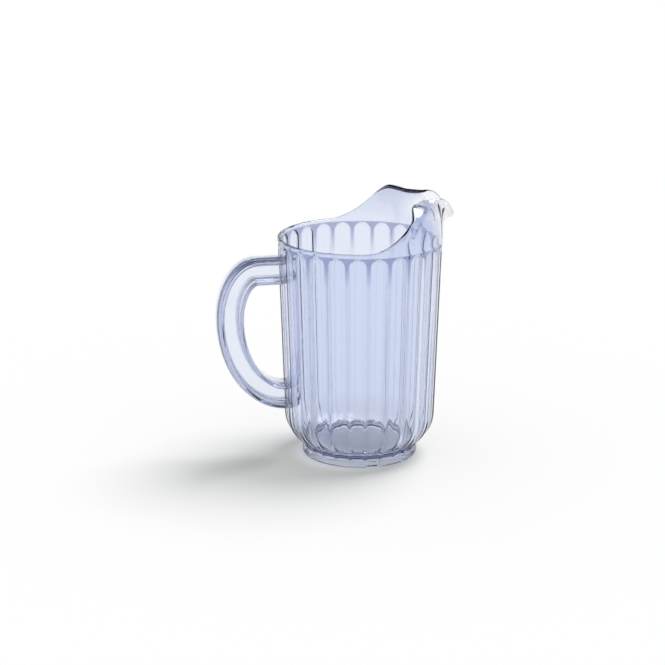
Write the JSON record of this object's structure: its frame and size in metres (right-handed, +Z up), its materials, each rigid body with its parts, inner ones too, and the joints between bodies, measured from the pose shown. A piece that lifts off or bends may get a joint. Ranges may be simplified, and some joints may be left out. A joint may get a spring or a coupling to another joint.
{
  "type": "pitcher",
  "caption": "Clear moulded plastic pitcher with a fluted, footed body, an ice-guard hood, a drooping spout and a C-shaped handle of I-section, for serving cold drinks.",
  "frame": {"origin": "middle of the whole pitcher in plan, on the surface that its foot stands on", "axes": "+Z up, +X towards the spout with the handle at -X, +Y to the left of someone who looks along +X"},
  "size_m": [0.1912, 0.1308, 0.2091],
  "materials": {
    "body_plastic": "clear, polished, with a faint lavender-blue tint",
    "handle_plastic": "clear, polished, with a faint lavender-blue tint"
  },
  "bodies": {
    "root": {"pitcher_body": "body_plastic", "handle": "handle_plastic"}
  },
  "joints": []
}
